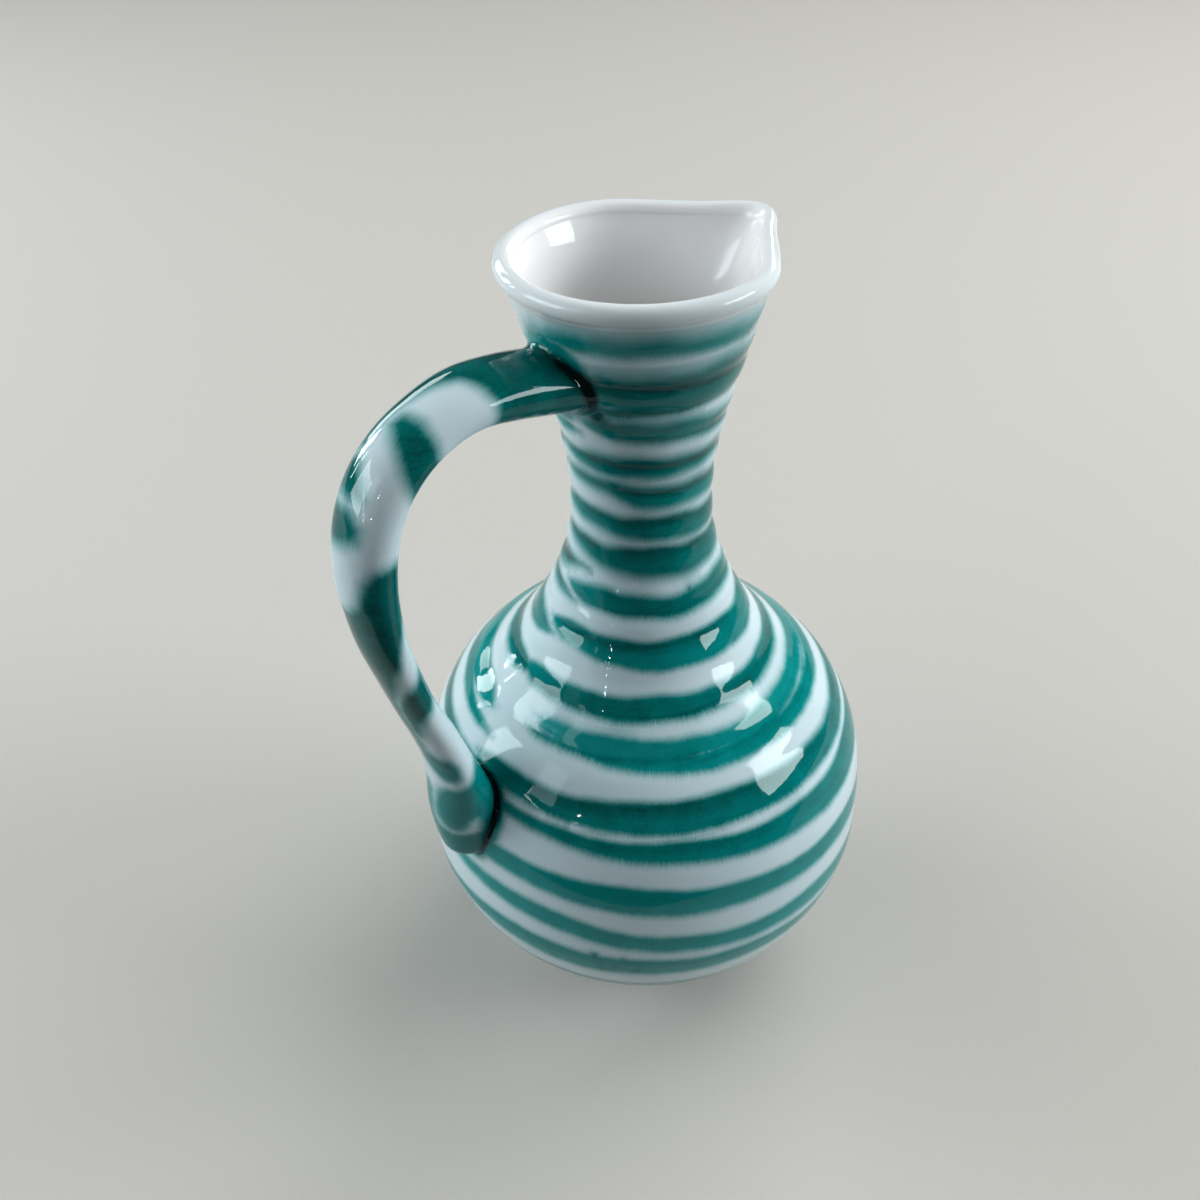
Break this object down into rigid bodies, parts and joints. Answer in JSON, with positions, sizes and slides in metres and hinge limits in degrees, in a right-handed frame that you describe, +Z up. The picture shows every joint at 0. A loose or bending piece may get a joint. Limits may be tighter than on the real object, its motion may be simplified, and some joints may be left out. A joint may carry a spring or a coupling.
{
  "type": "ceramic jug",
  "caption": "Hand-thrown glazed jug with a round belly, a narrow neck, a flared mouth pinched into a spout and a pulled handle, painted with a spiral of green bands.",
  "frame": {"origin": "on the jug's axis at the table, in the plane that the foot ring stands on", "axes": "+Z up along the jug's axis, +X towards the spout, -X towards the handle, +Y to the left of someone who looks from the handle to the spout"},
  "size_m": [0.1527, 0.13, 0.2336],
  "materials": {
    "white_glaze": "glossy white tin glaze",
    "green_glaze": "glossy green glaze, pooled dark",
    "bare_clay": "unglazed fired clay"
  },
  "bodies": {
    "root": {"belly": "white_glaze", "neck": "white_glaze", "mouth_and_spout": "white_glaze", "foot_ring": "bare_clay", "handle": "white_glaze", "upper_joint": "green_glaze", "lower_joint": "green_glaze"}
  },
  "joints": []
}
